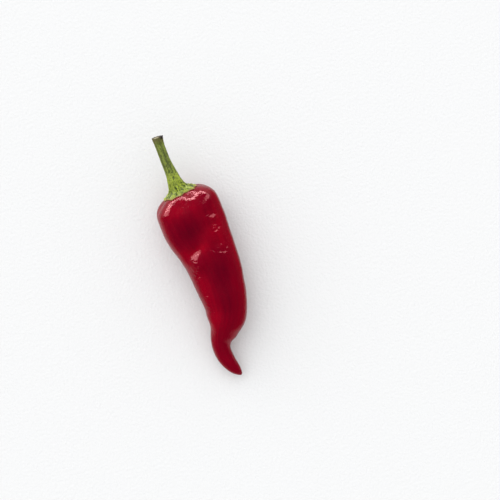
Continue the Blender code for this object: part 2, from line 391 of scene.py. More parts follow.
def smooth_step(value, low, high):
    """0 below low, 1 above high, and 3 s squared - 2 s cubed between, where s is the share of the way."""
    share = np.clip((value - low) / (high - low), 0, 1)
    return share * share * (3 - 2 * share)


def within(value, low, high, soft):
    """A mask that is 1 between low and high and falls smoothly to 0 over soft on each side."""
    rise = (value - low) / soft + 1
    fall = (high - value) / soft + 1
    return smooth_step(np.minimum(rise, fall), 0, 1)


def fine_wrinkles(skin, angle):
    """Cross wrinkles on the inner side of the elbow, and furrows that run down the narrow tip.

    Both are sine waves. Slower waves bend them on their way and make the cross wrinkles stronger in places.
    """
    wander = 0.9 * np.sin(3 * angle + 0.35 * skin) + 0.5 * np.sin(5 * angle - 0.6 * skin)
    uneven = 0.5 + 0.5 * np.sin(0.83 * skin + 2 * angle) * np.sin(0.31 * skin - 3 * angle)
    cross = np.sin(2 * np.pi * (skin + CROSS_WANDER * wander) / CROSS_SPACING) * CROSS_HEIGHT * uneven
    beside = within(turned_from(angle, CROSS_SIDE), -CROSS_HALF_WIDTH, CROSS_HALF_WIDTH, CROSS_SIDE_FADE)
    cross *= within(skin, *CROSS_PLACES, CROSS_PLACE_FADE) * beside
    furrows = np.cos(7 * angle + 0.05 * skin + 0.8 * np.sin(0.4 * skin))
    furrows += 0.6 * np.cos(11 * angle - 0.07 * skin)
    furrows *= -FURROW_DEPTH * within(skin, FURROW_START, SKIN_LENGTH - FURROW_END_GAP, FURROW_FADE)
    return cross + furrows


print_heights("wrinkles", fine_wrinkles(NET_SKIN, NET_ANGLE))

# %% [markdown]
# ## The whole skin
#
# Everything above comes together in one function of two numbers, the distance walked on the skin and the
# angle round the fruit. The calyx asks the same function where the skin is, so it fits the crown however the
# forms are changed.

# %% The whole skin
# The sections are a little squarer than an ellipse, whose power is 2.
SECTION_POWER = 2.15

# Where the fruit's radius is below this, near the middle of the crown and on the tip, the forms are lower in
# proportion.
FORM_FADE = 6.0

# The fine surface stays SKIN_INSET inside the faceted solid's size, and stops TIP_INSET short of the line's
# end.
SKIN_INSET = 0.09
TIP_INSET = 0.1


def line_frames(spine):
    """The fruit's centre and the unit vectors right and up, read from fine tables at distances along its
    line."""
    fine = np.linspace(0, MERIDIAN_SPINE[-1], FINE_STEPS)
    line = smooth_through(KNOTS, CENTRES, fine)
    _, right, up = frames_along(line)
    tables = (line, right, up)
    return (np.stack([np.interp(spine, fine, table[:, k]) for k in range(3)], axis=-1) for table in tables)


def fruit_skin(skin, angle):
    """Points of the fruit at a distance along the skin from the middle of the crown, and an angle round it.

    A section is a superellipse of the station's half width and half height, scaled by the rounding of the
    crown and the tip, with the forms added outwards and whatever is below the surface pressed flat on it.
    """
    spine = np.minimum(np.interp(skin, MERIDIAN_SKIN, MERIDIAN_SPINE), MERIDIAN_SPINE[-1] - TIP_INSET)
    share = np.interp(skin, MERIDIAN_SKIN, MERIDIAN_SHARE)
    centre, right, up = line_frames(spine)
    sizes = smooth_through(KNOTS, FRUIT_STATIONS[:, 2:4], spine.ravel()).reshape(*spine.shape, 2)
    c, s = np.cos(angle), np.sin(angle)
    square = np.abs(c / sizes[..., 0]) ** SECTION_POWER + np.abs(s / sizes[..., 1]) ** SECTION_POWER
    radius = share * square ** (-1 / SECTION_POWER)
    forms = oval_forms(BROAD_FORMS, skin, angle, radius) + fold_forms(FOLDS, skin, angle, radius)
    forms = forms + slow_waves(skin, angle) + fine_wrinkles(skin, angle)
    radius = radius + forms * np.clip(radius / FORM_FADE, 0, 1) - np.minimum(SKIN_INSET, radius)
    points = centre + radius[..., None] * (c[..., None] * right + s[..., None] * up)
    points[..., 2] = np.maximum(points[..., 2], 0)
    return points


# Normals are measured over this many millimetres down the skin and radians round it.
NORMAL_STEP = 0.02


def skin_normals(skin, angle):
    """Unit vectors out of the skin: the cross product of two short steps on it."""
    place = fruit_skin(skin, angle)
    down = fruit_skin(skin + NORMAL_STEP, angle) - place
    across = fruit_skin(skin, angle + NORMAL_STEP) - place
    return unit(np.cross(across, down))


ring = fruit_skin(np.full(360, 30.0), np.linspace(0, 2 * np.pi, 360))
width, _, height = np.ptp(ring, axis=0)
print(f"30 mm down the skin the pod is {width:.1f} mm wide and {height:.1f} mm high")

# %% [markdown]
# ## From a grid of points to a closed mesh
#
# Every piece here is a stack of rings. One helper joins them with quads, closes both ends round a point, and
# writes everything with whole arrays, which is far quicker than adding faces one by one.

# %% Rings to mesh
def around(sides):
    """Evenly spaced angles of a ring's sides, without the one that closes it."""
    return np.linspace(0, 2 * np.pi, sides, endpoint=False)


def closed_mesh(name, rings, first, last):
    """Joins rings of points with quads, and closes each end with a fan of triangles round one point."""
    count, sides = rings.shape[:2]
    index = np.arange(count * sides).reshape(count, sides)
    after = np.roll(index, -1, axis=1)
    quads = np.stack((index[:-1], after[:-1], after[1:], index[1:]), axis=-1).reshape(-1)
    start, end = count * sides, count * sides + 1
    fan = np.stack((np.full(sides, start), after[0], index[0]), axis=-1)
    last_fan = np.stack((np.full(sides, end), index[-1], after[-1]), axis=-1)
    corners = np.concatenate((quads, fan.ravel(), last_fan.ravel()))
    sizes = np.concatenate((np.full(len(quads) // 4, 4), np.full(2 * sides, 3)))
    points = np.concatenate((rings.reshape(-1, 3), [first], [last])) * MM
    mesh = bpy.data.meshes.new(name)
    mesh.vertices.add(len(points))
    mesh.vertices.foreach_set("co", points.ravel())
    mesh.loops.add(len(corners))
    mesh.loops.foreach_set("vertex_index", corners)
    mesh.polygons.add(len(sizes))
    mesh.polygons.foreach_set("loop_start", np.concatenate(([0], np.cumsum(sizes)[:-1])))
    mesh.update(calc_edges=True)
    mesh.validate()
    mesh.shade_smooth()
    return mesh


def per_point(mesh, name, rings_values, first, last):
    """Stores one number or one vector for each point, for the materials to read."""
    values = np.concatenate((rings_values.reshape(-1, *rings_values.shape[2:]), [first], [last]))
    if values.ndim == 2:
        mesh.attributes.new(name, "FLOAT_VECTOR", "POINT").data.foreach_set("vector", values.ravel())
    else:
        mesh.attributes.new(name, "FLOAT", "POINT").data.foreach_set("value", values)


def place_piece(name, mesh, node):
    """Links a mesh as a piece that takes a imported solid's place and rides with the pepper's one body."""
    piece = bpy.data.objects.new(name, mesh)
    bpy.context.collection.objects.link(piece)
    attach(piece, "root")
    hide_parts(node)
    size = np.ptp(np.array([v.co for v in mesh.vertices]), axis=0) / MM
    print(name, len(mesh.polygons), "faces,", [round(float(v), 1) for v in size], "mm")
    return piece


# %% [markdown]
# ## The fruit
#
# The pod is one closed skin with no seam. Its rings lie evenly along the skin, and 380 of them with 250
# points each put a point about every third of a millimetre, enough for wrinkles two millimetres apart. The
# mesh also carries what the finish will need: where each point would be if the pod were pulled straight, and
# how dark or bright its skin is painted there: painted shade and painted light on the top, uneven ripeness
# underneath.

# %% Painted shade, painted light and tones of the skin
# On the top of the pod these patches are painted shade and painted light: they darken the skin where it lies
# in shade and brighten it where light falls on it. The ones underneath, at 200 to 320 degrees, are uneven
# ripening. The rows are as for the forms, and the last number says how dark or bright, dark below zero and
# bright above it.
SHADE_AND_TONE_PATCHES = (
    (31.5, 104.0, 7.0, 8.0, 0.0, -1.0),
    (56.0, 79.0, 8.0, 6.0, 0.0, -0.9),
    (70.0, 84.0, 8.0, 6.0, 0.0, -0.6),
    (41.5, 97.0, 3.0, 5.0, 0.0, 0.8),
    (41.0, 132.0, 3.5, 4.0, 0.0, 0.8),
    (36.0, 78.0, 4.0, 4.0, 0.0, 0.6),
    (36.0, 48.0, 8.0, 4.0, 0.0, 0.6),
    (62.0, 124.0, 8.0, 4.0, 0.0, 0.6),
    (80.0, 120.0, 8.0, 4.5, 0.0, 0.7),
    (18.0, 118.0, 5.0, 9.0, 0.0, 0.5),
    (60.0, 250.0, 14.0, 9.0, 0.0, -0.5),
    (35.0, 200.0, 9.0, 8.0, 0.0, 0.5),
    (30.0, 320.0, 9.0, 8.0, 0.0, -0.5),
    (85.0, 300.0, 9.0, 5.0, 0.0, 0.5),
)
print(len(SHADE_AND_TONE_PATCHES), "patches make the skin darker or brighter")

# %% The fruit
FRUIT_RINGS = 380
FRUIT_SIDES = 250

# Pulled straight, the pod is as thick as this radius all along.
STRAIGHT_RADIUS = 14.0


def make_fruit():
    """Rings of the skin from just below the crown's middle to just above the tip's end, which close it.

    Pulled straight, a point's x is its distance along the skin, and y and z go round at the straight radius,
    which shrinks to nothing at both ends.
    """
    skin = SKIN_LENGTH * np.linspace(0, 1, FRUIT_RINGS + 2)[1:-1]
    grid_skin, grid_angle = np.meshgrid(skin, around(FRUIT_SIDES), indexing="ij")
    ends = fruit_skin(np.array((0.0, SKIN_LENGTH)), np.zeros(2))
    mesh = closed_mesh("pepper_fruit", fruit_skin(grid_skin, grid_angle), *ends)
    radius = np.interp(grid_skin, MERIDIAN_SKIN, MERIDIAN_SHARE) * STRAIGHT_RADIUS
    straight = np.stack((grid_skin, radius * np.cos(grid_angle), radius * np.sin(grid_angle)), axis=-1)
    per_point(mesh, "straight", straight, (0, 0, 0), (SKIN_LENGTH, 0, 0))
    # Painted shade and painted light on the top of the pod, uneven ripeness underneath.
    per_point(mesh, "shade_and_tone", oval_forms(SHADE_AND_TONE_PATCHES, grid_skin, grid_angle, radius), 0.0, 0.0)
    return place_piece("pepper_fruit", mesh, "fruit")


fruit = make_fruit()

# %% [markdown]
# ## The calyx
#
# The calyx is the green cap that held the flower: sepals grown together into a low cone, with a small tooth
# where each one ends and a rib running down to it, and a neck in the middle that the stalk grows out of. It
# hugs the crown, so it is worked out from the crown itself: every point stands on the skin and is lifted off
# it by the cap's thickness there, and towards the middle the lifted skin gives way to rings round the neck.

# %% The calyx's margin and relief
# Each tooth has an angle in degrees and a length. The spreads of the teeth, and of the ribs that lead to
# them, are in degrees too. A rib is its tooth's bump less the level, times the height.
CALYX_REACH = 8.5
CALYX_TEETH = (
    (14, 1.0), (40, 1.2), (64, 1.1), (92, 1.0), (122, 0.8), (169, 1.6), (218, 0.8), (268, 1.0), (318, 0.9)
)
CALYX_TOOTH_SPREAD = 10.0
CALYX_RIB_SPREAD = 7.0
CALYX_RIB_HEIGHT = 0.34
CALYX_RIB_LEVEL = 0.35
CALYX_VEIN_HEIGHTS = (0.17, 0.11)
CALYX_BUMP_HEIGHT = 0.13


def calyx_teeth(angle, spread):
    """How far teeth stand out at an angle: a sum of length times exp(-(distance / spread) squared)."""
    return sum(
        length * np.exp(-((turned_from(angle, degrees) / np.radians(spread)) ** 2))
        for degrees, length in CALYX_TEETH
    )


def calyx_margin(angle):
    """Distance of the margin from the crown's middle: the reach, the teeth, and small waves between them."""
    waves = 0.10 * np.sin(9 * angle + 0.5)
    return CALYX_REACH + calyx_teeth(angle, CALYX_TOOTH_SPREAD) + waves + 0.07 * np.sin(21 * angle)


def calyx_relief(inward, angle):
    """Ribs that lead to the teeth, crumpled veins between them, and small bumps, all gone at both ends.

    Inward is the share of the way from the margin to the neck's end. The veins are waves round the calyx,
    bent on their way by slower ones, and the bumps are a product of two waves.
    """
    fading = smooth_step(inward, 0.0, 0.12) * (1 - smooth_step(inward, 0.55, 0.9))
    rib = CALYX_RIB_HEIGHT * (calyx_teeth(angle, CALYX_RIB_SPREAD) - CALYX_RIB_LEVEL)
    wander = 1.1 * np.sin(5 * angle + 9 * inward) + 0.7 * np.sin(9 * angle - 16 * inward)
    wide, narrow = CALYX_VEIN_HEIGHTS
    vein = wide * np.cos(19 * angle + 1.4 * wander) + narrow * np.cos(33 * angle - 2.0 * wander + 6 * inward)
    bumps = CALYX_BUMP_HEIGHT * np.sin(26 * inward + 7 * angle + wander) * np.sin(15 * angle - 11 * inward)
    return fading * (rib + vein + bumps)


print("the calyx has", len(CALYX_TEETH), "teeth")


# %% The calyx's cap
# The cap is thin at the margin, where it rounds off within a share of the way in, and climbs inwards as a
# cone. From one share of the way in to another it gives way to the neck.
CALYX_SIDES = 400
CALYX_CLEARANCE = 0.2
CALYX_EDGE = 0.08
CALYX_THICKNESS = 0.42
CALYX_CONE = 1.4
CALYX_CONE_POWER = 1.5
CAP_FADES = (0.25, 0.55)


def lifted_skin(share, angle, lift):
    """Points of the skin at a share of the way from the crown's middle to the margin, moved out by the
    lift."""
    place = share * calyx_margin(angle)
    turned = np.broadcast_to(angle, place.shape)
    return fruit_skin(place, turned) + lift * skin_normals(place, turned)


def calyx_cap(inward, angle):
    """The cap's upper side, from the margin half of the way to the crown's middle. Its lift is the
    clearance, plus the relief, plus the thickness and the cone, which a quarter ellipse brings down to
    nothing at the edge."""
    _, end = CAP_FADES
    edge = np.sqrt(np.clip(1 - (1 - np.clip(inward / CALYX_EDGE, 0, 1)) ** 2, 0, 1))
    cone = CALYX_CONE * np.clip(inward, 0, end) ** CALYX_CONE_POWER
    lift = CALYX_CLEARANCE + edge * (CALYX_THICKNESS + cone) + calyx_relief(inward, angle)
    return lifted_skin(1 - 0.5 * np.clip(inward / end, 0, 1), angle, lift[..., None])


print("the cap is", CALYX_THICKNESS, "mm thick near its margin")

# %% The calyx's neck
# Each row is the share of the way in from the margin, the height over the crown, and the radius.
CALYX_NECK = np.array((
    (0.30, 0.9, 5.6),
    (0.50, 1.7, 4.75),
    (0.65, 2.5, 4.3),
    (0.82, 3.8, 3.9),
    (1.00, 5.5, 3.4),
))

# The stalk stands on a seat inside the neck, this gap above it, as in the solids. Its ribs begin on the neck.
CALYX_SEAT_HEIGHT = 4.6
TOUCHING_GAP = 0.3
STEM_RIBS = 5
STEM_RIB_HEIGHT = 0.09
STEM_RIB_TWIST = 0.012


def stem_relief(along, angle):
    """Ribs, fibres that wander a little, and low knots, each a wave or a product of two, as shares of the
    radius."""
    ribs = STEM_RIB_HEIGHT * np.cos(STEM_RIBS * angle + STEM_RIB_TWIST * along)
    fibres = 0.014 * np.sin(17 * angle + 0.12 * along) + 0.012 * np.sin(29 * angle - 0.2 * along)
    knots = 0.014 * np.sin(1.1 * along + 3 * angle) * np.sin(0.7 * along - 2 * angle)
    return ribs + fibres + knots


def crown_frame():
    """The middle of the crown, and the unit vectors out of it, to its right and to its upper side."""
    line = smooth_through(KNOTS, CENTRES, np.linspace(0, 1, 3))
    along, right, up = frames_along(line)
    return line[0], -along[0], right[0], up[0]


def calyx_neck(inward, angle):
    """Rings round the crown's axis. Their height and radius are splines through the rows. The radius is
    multiplied by one plus the stalk's relief, which comes in smoothly, and the calyx's relief is added to
    it."""
    middle, out, right, up = crown_frame()
    ring = np.cos(angle)[:, None] * right + np.sin(angle)[:, None] * up
    place, heights, radii = CALYX_NECK.T
    at = np.clip(inward[:, 0], place[0], 1)
    height = smooth_through(place, heights[:, None], at)
    radius = smooth_through(place, radii[:, None], at)
    ribs = stem_relief(height - CALYX_SEAT_HEIGHT - TOUCHING_GAP, np.pi - angle)
    radius = radius * (1 + ribs * smooth_step(inward, 0.3, 0.85)) + calyx_relief(inward, angle)
    return middle + height[..., None] * out + radius[..., None] * ring


print("the neck ends", CALYX_NECK[-1, 1], "mm over the crown")

# %% The calyx
CALYX_RINGS = 90
UNDERSIDE_RINGS = 14
UNDERSIDE_START = 0.12

# Patterns on the green pieces lie on a straight stalk of this radius, and the calyx is the stretch before it.
PATTERN_RADIUS = 3.0
CALYX_PATTERN_LENGTH = 9.0


def make_calyx():
    """An underside close to the skin, a thin rounded margin, an upper side that climbs to the neck, and a
    seat.

    The upper side is the cap times one minus the fade, plus the neck times the fade. The rings stack up out
    of the crown and the fruit's run down from it, so here each ring's points are turned round, to make the
    faces point out.
    """
    middle, out, _, _ = crown_frame()
    angle = around(CALYX_SIDES)
    low = lifted_skin(np.linspace(UNDERSIDE_START, 1.0, UNDERSIDE_RINGS)[:, None], angle, CALYX_CLEARANCE)
    inward = np.linspace(0, 1, CALYX_RINGS)[:, None]
    fade = smooth_step(inward, *CAP_FADES)[..., None]
    high = calyx_cap(inward, angle) * (1 - fade) + calyx_neck(inward, angle) * fade
    top = middle + CALYX_SEAT_HEIGHT * out
    seat = top + 0.5 * (high[-1:] - top)
    rings = np.concatenate((low, high, seat))[:, ::-1]
    mesh = closed_mesh("pepper_calyx", rings, middle + CALYX_CLEARANCE * out, top)
    rise = np.concatenate((np.zeros(len(low)), inward[:, 0], (1.0,)))
    rise = np.broadcast_to(rise[:, None], (len(rise), CALYX_SIDES))
    turned = np.broadcast_to(angle[::-1], rise.shape)
    per_point(mesh, "rise", rise, 0.0, 1.0)
    per_point(mesh, "relief", calyx_relief(rise, turned), 0.0, 0.0)
    before_stalk = (rise - 1) * CALYX_PATTERN_LENGTH
    sideways, upwards = -PATTERN_RADIUS * np.cos(turned), PATTERN_RADIUS * np.sin(turned)
    straight = np.stack((before_stalk, sideways, upwards), axis=-1)
    per_point(mesh, "straight", straight, (-CALYX_PATTERN_LENGTH, 0, 0), (0, 0, 0))
    return place_piece("pepper_calyx", mesh, "calyx")


calyx = make_calyx()

# %% [markdown]
# ## The stem
#
# The stalk is woody and ribbed, wide where it leaves the calyx and again at the end, where it was cut off the
# plant on a slant and has dried brown. A tube with a round section would look like plastic, so the section is
# a circle with five ribs and finer fibres on it, and the profile runs over the rim and into the hollow of the
# cut face.

# %% Stem sizes
# Each row holds the x and y of the stalk's centre and its radius. The stalk rises a little on its way.
STEM_STATIONS = np.array((
    (-3.2, 38.0, 3.0),
    (-3.65, 41.5, 2.65),
    (-4.15, 45.5, 2.4),
    (-4.4, 50.0, 2.3),
    (-4.6, 55.0, 2.4),
    (-4.55, 57.2, 2.65),
    (-4.5, 58.5, 2.8),
))
STEM_BASE_RADIUS = 3.6
STEM_RISE = 0.09
STEM_RINGS = 220
STEM_SIDES = 180

# The fine stalk stays this far inside the solid's size, and more over its first stretch, inside the neck.
STEM_INSET = 0.03
STEM_FOOT_INSET = 0.15
STEM_FOOT_LENGTH = 0.7


def stem_line():
    """Distances along the stalk, and its centre, radius and unit vectors along, across and above at each.

    The first ring lies flat on the calyx's seat, so the ribs of both run on into each other.
    """
    middle, out, right, up = crown_frame()
    base = middle + (CALYX_SEAT_HEIGHT + TOUCHING_GAP) * out
    x, y, radius = STEM_STATIONS.T
    places = np.column_stack((x, y, base[2] + STEM_RISE * (y - base[1])))
    places = np.concatenate(([base], places))
    radii = np.concatenate(([STEM_BASE_RADIUS], radius))
    knots = lengths_along(places)
    at = np.linspace(0, knots[-1], STEM_RINGS)
    line = smooth_through(knots, places, at)
    along, across, above = frames_along(line)
    across[0], above[0] = -right, up
    return at, line, smooth_through(knots, radii[:, None], at), (along, across, above)


print("the stalk's line is", round(float(stem_line()[0][-1]), 1), "mm long")

# %% The stalk's tube and cut face
# The cut leans back by STEM_CUT_SLANT at its upper side, and its rim is ragged. Both grow as high powers of
# the share of the length, so they leave the rest of the stalk as it is.
STEM_CUT_SLANT = 1.0
STEM_CUT_ONSET = 6
STEM_RIM_ONSET = 30

# Rings of the hollow in the cut face: share of the rim's size, and depth below the rim.
CUT_FACE = np.array(((0.95, 0.02), (0.86, 0.22), (0.72, 0.30), (0.54, 0.26), (0.36, 0.22), (0.18, 0.20)))


def stem_tube(at, line, reach, vectors, angle):
    """Rings of the stalk: its radius less the insets, times one plus the relief, moved back by the slant."""
    along, across, above = vectors
    length = at[:, None]
    foot = STEM_FOOT_INSET * (1 - smooth_step(length, 0.0, STEM_FOOT_LENGTH))
    reach = (reach - STEM_INSET - foot) * (1 + stem_relief(length, angle))
    ragged = 0.10 * np.sin(13 * angle) + 0.07 * np.sin(23 * angle + 1)
    slant = STEM_CUT_SLANT * (length / at[-1]) ** STEM_CUT_ONSET * (1 + np.sin(angle)) / 2
    slant = slant + np.clip(ragged, 0, 1) * (length / at[-1]) ** STEM_RIM_ONSET
    outward = np.cos(angle)[:, None] * across[:, None] + np.sin(angle)[:, None] * above[:, None]
    return line[:, None] + reach[..., None] * outward - slant[..., None] * along[:, None]


def cut_face(rim, back):
    """The rim's middle, and rings of the cut face: the rim drawn in by each share and sunk by each depth."""
    end = rim.mean(axis=0)
    share, sink = CUT_FACE.T[:, :, None, None]
    return end, end + share * (rim - end) + sink * back


print("the cut face has", len(CUT_FACE), "rings")

# %% The stem
# A root ring lies this far down inside the neck and is this share of the first one's size, so no gap shows.
STEM_SINK = 0.9
STEM_ROOT_SHARE = 0.9


def make_stem():
    """A root ring inside the neck, the tube, and the cut face, with the mesh's own values for the finish.

    The groove is 0 on a rib and 1 between two, once it has come in over the stalk's first millimetres. The
    cut is 0 on the tube and 1 in the middle of the face.
    """
    at, line, reach, vectors = stem_line()
    angle = around(STEM_SIDES)
    tube = stem_tube(at, line, reach, vectors, angle)
    foot = line[0] - crown_frame()[1] * STEM_SINK
    root = foot + STEM_ROOT_SHARE * (tube[0] - line[0])
    back = -vectors[0][-1]
    end, face = cut_face(tube[-1], back)
    rings = np.concatenate((root[None], tube, face))
    mesh = closed_mesh("pepper_stem", rings, foot, end + CUT_FACE[-1, 1] * back)
    lengths = np.concatenate(((-STEM_SINK,), at, np.full(len(face), at[-1])))
    lengths = np.broadcast_to(lengths[:, None], (len(lengths), STEM_SIDES))
    turned = np.broadcast_to(angle, lengths.shape)
    straight = np.stack((lengths, PATTERN_RADIUS * np.cos(turned), PATTERN_RADIUS * np.sin(turned)), axis=-1)
    per_point(mesh, "straight", straight, (-STEM_SINK, 0, 0), (at[-1], 0, 0))
    groove = 0.5 - 0.5 * np.cos(STEM_RIBS * turned + STEM_RIB_TWIST * lengths)
    per_point(mesh, "groove", groove * smooth_step(lengths, 0.5, 7.0), 0.0, 0.0)
    cut = np.zeros(lengths.shape)
    cut[-len(face):] = 1 - CUT_FACE[:, :1]
    per_point(mesh, "cut", cut, 0.0, 1.0)
    return place_piece("pepper_stem", mesh, "stem")


stem = make_stem()

# %% [markdown]
# ## Finishes
#
# Each finish is a Principled shader fed by a few textures. Patterns follow the pepper and not space: they
# read the straightened place that each mesh carries, so streaks run along the pod and the stalk however they
# bend. A node needs several lines to make and link, so a few helpers say in one line what each node does.

# %% Node helpers
def new_material(name):
    """A material, its node tree and its Principled shader."""
    material = bpy.data.materials.new(name)
    material.use_nodes = True
    tree = material.node_tree
    return material, tree, tree.nodes["Principled BSDF"]


def dress(piece, material):
    """Puts a material on a piece and says how many nodes it took."""
    piece.data.materials.append(material)
    print(piece.name, "wears", material.name, "with", len(material.node_tree.nodes), "nodes")


def feed(tree, target, source):
    """Feeds an input with another node's output, or with a plain number, vector or colour."""
    if isinstance(source, bpy.types.NodeSocket):
        tree.links.new(source, target)
    elif target.type == "RGBA":
        target.default_value = (*source, 1.0)
    else:
        target.default_value = source


def add_node(tree, kind, inputs=(), **settings):
    """A shader node with its properties set and its inputs fed. Inputs are given by name."""
    node = tree.nodes.new("ShaderNode" + kind)
    for name, value in settings.items():
        setattr(node, name, value)
    for name, source in dict(inputs).items():
        feed(tree, node.inputs[name], source)
    return node


def carried(tree, name, output="Fac"):
    """A value that the mesh carries at each point."""
    return add_node(tree, "Attribute", attribute_name=name).outputs[output]


def worked_out(tree, operation, *operands):
    """The result of a math operation on sockets and plain numbers."""
    node = add_node(tree, "Math", operation=operation)
    for target, operand in zip(node.inputs, operands):
        feed(tree, target, operand)
    return node.outputs["Value"]


def mapped(tree, value, start, end, low=0.0, high=1.0, interpolation="LINEAR"):
    """The value moved from the range start to end onto the range low to high, and kept inside it."""
    ranges = {"Value": value, "From Min": start, "From Max": end, "To Min": low, "To Max": high}
    return add_node(tree, "MapRange", ranges, interpolation_type=interpolation).outputs["Result"]


# %% Colour and pattern helpers
def grey(value):
    """A colour with the same red, green and blue."""
    return (value, value, value)


def ramp(tree, source, stops):
    """A colour ramp through (position, colour) stops."""
    node = add_node(tree, "ValToRGB", {"Fac": source})
    elements = node.color_ramp.elements
    while len(elements) < len(stops):
        elements.new(0.5)
    for element, (position, colour) in zip(elements, stops):
        element.position = position
        element.color = (*colour, 1.0)
    return node.outputs["Color"]


def mix_colour(tree, factor, low, high):
    """One colour at factor 0, another at factor 1, and their mixture between."""
    node = add_node(tree, "Mix", {"Factor": factor}, data_type="RGBA")
    for name, colour in (("A", low), ("B", high)):
        feed(tree, [i for i in node.inputs if i.name == name and i.type == "RGBA"][0], colour)
    return [o for o in node.outputs if o.type == "RGBA"][0]


def scaled(tree, vector, scale):
    """A vector stretched by a scale for each of its axes."""
    return add_node(tree, "Mapping", {"Vector": vector, "Scale": scale}).outputs["Vector"]


def noise(tree, vector, scale, detail=2.0, roughness=0.5):
    """Cloudy noise between 0 and 1 over a vector, which is stretched first."""
    place = scaled(tree, vector, scale)
    inputs = {"Vector": place, "Scale": 1.0, "Detail": detail, "Roughness": roughness}
    return add_node(tree, "TexNoise", inputs).outputs["Fac"]


def bump(tree, height, distance, strength=1.0):
    """A normal tilted by a height, which is multiplied by a distance in metres."""
    inputs = {"Height": height, "Distance": distance, "Strength": strength}
    return add_node(tree, "Bump", inputs).outputs["Normal"]


# %% [markdown]
# ## Red skin
#
# A ripe pod is a deep crimson under a clear wax that shines like lacquer, darker in some places and brighter
# in others. One plain red would look like plastic, and a painted picture would need a flat layout of the
# skin. So the painted shade and light and the ripeness patches that the mesh carries, with faint streaks
# along the pod, choose between three reds, and the gloss lies on top. It is tinted pink, because a plain
# white one looks grey and chalky over so deep a red.

# %% Red skin
RED_DEEP = (0.118, 0.0001, 0.0085)
RED_MIDDLE = (0.19, 0.0002, 0.0095)
RED_BRIGHT = (0.30, 0.0003, 0.0105)
GLOSS_TINT = (1.0, 0.34, 0.38)
SHADE_AND_TONE_SHARE = 0.4
STREAK_SHARE = 0.5
STREAK_LEVEL = 0.25
WAX_ROUGHNESS = (0.10, 0.17)
WAX_BUMP = 0.00018


def finish_red_skin():
    """The colour is read from a ramp at the painted shade and light times its share, plus the streak times
    its share and its level. Roughness changes in patches, and a faint bump makes the gloss uneven."""
    material, tree, shader = new_material("red_skin")
    place = carried(tree, "straight", "Vector")
    streak = noise(tree, place, (0.07, 0.5, 0.5), 3.0)
    streak = worked_out(tree, "MULTIPLY_ADD", streak, STREAK_SHARE, STREAK_LEVEL)
    # Painted shade and painted light from the mesh, with uneven ripeness underneath, plus random streaks.
    shade_and_tone_mix = worked_out(tree, "MULTIPLY_ADD", carried(tree, "shade_and_tone"), SHADE_AND_TONE_SHARE, streak)
    colour = ramp(tree, shade_and_tone_mix, ((0.1, RED_DEEP), (0.5, RED_MIDDLE), (0.9, RED_BRIGHT)))
    feed(tree, shader.inputs["Base Color"], colour)
    smoother, rougher = WAX_ROUGHNESS
    patch = noise(tree, place, (0.25, 0.4, 0.4), 3.0)
    feed(tree, shader.inputs["Roughness"], ramp(tree, patch, ((0.3, grey(smoother)), (0.7, grey(rougher)))))
    peel = noise(tree, place, (0.55, 0.75, 0.75), 3.0)
    feed(tree, shader.inputs["Normal"], bump(tree, peel, WAX_BUMP))
    feed(tree, shader.inputs["Specular Tint"], GLOSS_TINT)
    dress(fruit, material)


finish_red_skin()

# %% [markdown]
# ## Green tissue
#
# Stalk and calyx are one plant part, with fibres that run along it, darker streaks, and small dark specks.
# Two separate patterns would drift apart when one is changed, so the tissue is one node group with its own
# inputs for the dark and the light green, and each material uses it with its own colours.

# %% Green tissue
SPECK_GREEN = (0.055, 0.08, 0.010)
SPECK_STRENGTH = 0.5


def green_group():
    """Streaks plus spots spread the tissue between its dark and its light green. Specks lie near the middles
    of scattered cells, and the height is the sum of streaks and spots."""
    group = bpy.data.node_groups.new("Green tissue", "ShaderNodeTree")
    face = group.interface
    face.new_socket("Place", in_out="INPUT", socket_type="NodeSocketVector")
    face.new_socket("Dark", in_out="INPUT", socket_type="NodeSocketColor")
    face.new_socket("Light", in_out="INPUT", socket_type="NodeSocketColor")
    face.new_socket("Colour", in_out="OUTPUT", socket_type="NodeSocketColor")
    face.new_socket("Height", in_out="OUTPUT", socket_type="NodeSocketFloat")
    put = group.nodes.new("NodeGroupInput").outputs
    out = group.nodes.new("NodeGroupOutput").inputs
    streaks = noise(group, put["Place"], (0.30, 1.5, 1.5), 3.0, 0.6)
    spots = noise(group, put["Place"], (1.3, 2.0, 2.0), 2.0, 0.55)
    both = worked_out(group, "ADD", streaks, spots)
    spread = ramp(group, both, ((0.86, grey(0.0)), (1.10, grey(1.0))))
    colour = mix_colour(group, spread, put["Dark"], put["Light"])
    cell_place = scaled(group, put["Place"], (0.9, 1.3, 1.3))
    cells = add_node(group, "TexVoronoi", {"Vector": cell_place, "Scale": 1.0}).outputs["Distance"]
    speck = ramp(group, cells, ((0.10, grey(SPECK_STRENGTH)), (0.24, grey(0.0))))
    feed(group, out["Colour"], mix_colour(group, speck, colour, SPECK_GREEN))
    feed(group, out["Height"], both)
    print("the green tissue is a group of", len(group.nodes), "nodes")
    return group


GREEN_TISSUE = green_group()


def green_tissue(tree, place, dark, light):
    """Colour and height of the tissue at a place, between a dark and a light green."""
    node = add_node(tree, "Group", node_tree=GREEN_TISSUE)
    for name, source in (("Place", place), ("Dark", dark), ("Light", light)):
        feed(tree, node.inputs[name], source)
    return node.outputs["Colour"], node.outputs["Height"]


# %% [markdown]
# ## Calyx finish
#
# The cap is the freshest green of the pepper. Its ribs get a painted highlight and the hollows between them
# painted shade, and the margin has dried to a thin tan line. The mesh knows how high its relief is, so that
# relief picks the places, and no mask has to be painted.

# %% Calyx finish
BASE_DARK = (0.060, 0.090, 0.006)
BASE_LIGHT = (0.33, 0.41, 0.030)
# Painted shade for the hollows and a painted highlight for the crests.
HOLLOW_SHADE_GREEN = (0.05, 0.08, 0.008)
CREST_HIGHLIGHT_GREEN = (0.38, 0.46, 0.05)
MARGIN_TAN = (0.38, 0.27, 0.08)

